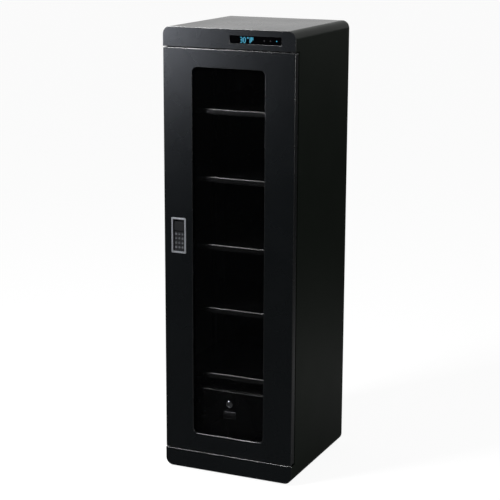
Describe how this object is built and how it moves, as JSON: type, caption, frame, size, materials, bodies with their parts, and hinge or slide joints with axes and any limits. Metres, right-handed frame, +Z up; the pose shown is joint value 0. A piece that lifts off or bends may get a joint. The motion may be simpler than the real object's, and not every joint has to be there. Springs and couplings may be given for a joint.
{
  "type": "camera dry cabinet",
  "caption": "Tall steel cabinet that keeps cameras and lenses dry: glazed locking door, shelves, lockable drawer, humidity display and rear drying unit.",
  "frame": {"origin": "middle of the base, on the surface that the feet stand on", "axes": "+X right seen from the front, +Y into the depth so that the door faces -Y, +Z up"},
  "size_m": [0.401, 0.41, 1.297],
  "materials": {
    "casing_coat": "fine textured black powder coat, satin",
    "inner_coat": "black powder coat, satin",
    "shelf_coat": "dark grey coat with a soft gloss on the rounded lips",
    "foot_rubber": "matt",
    "gasket_rubber": "matt",
    "zinc_steel": "zinc plated",
    "display_gloss": "polished black",
    "display_light": "lit cyan figures",
    "circuit_board": "green solder resist",
    "pale_plastic": "fine grain",
    "black_plastic": "fine grain",
    "desiccant": "porous pack",
    "door_tint": "tinted, polished",
    "bright_chrome": "polished",
    "key_metal": "satin"
  },
  "bodies": {
    "cabinet": {"left_side_panel": "casing_coat", "right_side_panel": "casing_coat", "top_panel": "casing_coat", "bottom_panel": "casing_coat", "back_panel": "casing_coat", "top_fascia": "casing_coat", "plinth_fascia": "casing_coat", "floor_panel": "inner_coat", "ceiling_panel": "inner_coat", "feet": "foot_rubber", "case_screws": "zinc_steel", "shelf_standards": "inner_coat", "shelf_clips": "zinc_steel", "shelf_1": "shelf_coat", "shelf_2": "shelf_coat", "shelf_3": "shelf_coat", "shelf_4": "shelf_coat", "shelf_5": "shelf_coat", "display_window": "display_gloss", "display_segments": "display_light", "control_board": "circuit_board", "humidity_sensor": "pale_plastic", "upper_hinge_pin": "zinc_steel", "lower_hinge_pin": "zinc_steel", "drawer_housing": "inner_coat", "drawer_runners": "zinc_steel", "dryer_case": "pale_plastic", "desiccant_pack": "desiccant", "dryer_heater": "zinc_steel", "rear_vent_cover": "black_plastic", "power_inlet": "black_plastic"},
    "door": {"door_frame": "casing_coat", "door_inner_frame": "inner_coat", "door_glass": "door_tint", "door_gasket": "gasket_rubber", "hinge_bushes": "black_plastic", "keypad_bezel": "bright_chrome", "keypad_tray": "black_plastic", "keypad_board": "circuit_board", "lock_case": "black_plastic"},
    "bolt": {"lock_bolt": "zinc_steel"},
    "paddle": {"pull_paddle": "black_plastic"},
    "drawer": {"drawer_front": "inner_coat", "drawer_tray": "inner_coat", "drawer_lock_barrel": "bright_chrome"},
    "drawer_plug": {"drawer_lock_plug": "bright_chrome"},
    "inner_flap": {"inner_shutter": "black_plastic"},
    "outer_flap": {"outer_shutter": "black_plastic"},
    "key_1": {"key_1": "key_metal"},
    "key_2": {"key_2": "key_metal"},
    "key_3": {"key_3": "key_metal"},
    "key_4": {"key_4": "key_metal"},
    "key_5": {"key_5": "key_metal"},
    "key_6": {"key_6": "key_metal"},
    "key_7": {"key_7": "key_metal"},
    "key_8": {"key_8": "key_metal"},
    "key_9": {"key_9": "key_metal"},
    "key_10": {"key_10": "key_metal"},
    "key_11": {"key_11": "key_metal"},
    "key_12": {"key_12": "key_metal"}
  },
  "joints": [
    {"name": "door_swing", "type": "hinge", "parent": "cabinet", "child": "door", "pos_m": [0.19, -0.193, 0.65], "axis": [0, 0, 1], "range_deg": [0, 170]},
    {"name": "bolt_slide", "type": "slide", "parent": "door", "child": "bolt", "axis": [-1, 0, 0], "range_m": [0, 0.012]},
    {"name": "paddle_pull", "type": "hinge", "parent": "door", "child": "paddle", "pos_m": [-0.154, -0.1985, 0.72], "axis": [1, 0, 0], "range_deg": [0, 40], "stiffness_Nm_per_rad": 0.02},
    {"name": "drawer_slide", "type": "slide", "parent": "cabinet", "child": "drawer", "axis": [0, -1, 0], "range_m": [0, 0.20002]},
    {"name": "drawer_lock_turn", "type": "hinge", "parent": "drawer", "child": "drawer_plug", "pos_m": [-0.009, -0.165, 0.209], "axis": [0, 1, 0], "range_deg": [0, 90]},
    {"name": "inner_flap_turn", "type": "hinge", "parent": "cabinet", "child": "inner_flap", "pos_m": [-0.014, 0.1148, 0.152], "axis": [0, 0, -1], "range_deg": [0, 60]},
    {"name": "outer_flap_turn", "type": "hinge", "parent": "cabinet", "child": "outer_flap", "pos_m": [-0.014, 0.1968, 0.152], "axis": [0, 0, -1], "range_deg": [0, 60]},
    {"name": "key_1_press", "type": "slide", "parent": "door", "child": "key_1", "axis": [0, 1, 0], "range_m": [0, 0.001], "stiffness_N_per_m": 300},
    {"name": "key_2_press", "type": "slide", "parent": "door", "child": "key_2", "axis": [0, 1, 0], "range_m": [0, 0.001], "stiffness_N_per_m": 300},
    {"name": "key_3_press", "type": "slide", "parent": "door", "child": "key_3", "axis": [0, 1, 0], "range_m": [0, 0.001], "stiffness_N_per_m": 300},
    {"name": "key_4_press", "type": "slide", "parent": "door", "child": "key_4", "axis": [0, 1, 0], "range_m": [0, 0.001], "stiffness_N_per_m": 300},
    {"name": "key_5_press", "type": "slide", "parent": "door", "child": "key_5", "axis": [0, 1, 0], "range_m": [0, 0.001], "stiffness_N_per_m": 300},
    {"name": "key_6_press", "type": "slide", "parent": "door", "child": "key_6", "axis": [0, 1, 0], "range_m": [0, 0.001], "stiffness_N_per_m": 300},
    {"name": "key_7_press", "type": "slide", "parent": "door", "child": "key_7", "axis": [0, 1, 0], "range_m": [0, 0.001], "stiffness_N_per_m": 300},
    {"name": "key_8_press", "type": "slide", "parent": "door", "child": "key_8", "axis": [0, 1, 0], "range_m": [0, 0.001], "stiffness_N_per_m": 300},
    {"name": "key_9_press", "type": "slide", "parent": "door", "child": "key_9", "axis": [0, 1, 0], "range_m": [0, 0.001], "stiffness_N_per_m": 300},
    {"name": "key_10_press", "type": "slide", "parent": "door", "child": "key_10", "axis": [0, 1, 0], "range_m": [0, 0.001], "stiffness_N_per_m": 300},
    {"name": "key_11_press", "type": "slide", "parent": "door", "child": "key_11", "axis": [0, 1, 0], "range_m": [0, 0.001], "stiffness_N_per_m": 300},
    {"name": "key_12_press", "type": "slide", "parent": "door", "child": "key_12", "axis": [0, 1, 0], "range_m": [0, 0.001], "stiffness_N_per_m": 300}
  ],
  "couplings": [
    {"joint": "drawer_slide", "follows": "door_swing", "m_per_rad": 0.06741},
    {"joint": "outer_flap_turn", "follows": "inner_flap_turn", "ratio": 1}
  ]
}
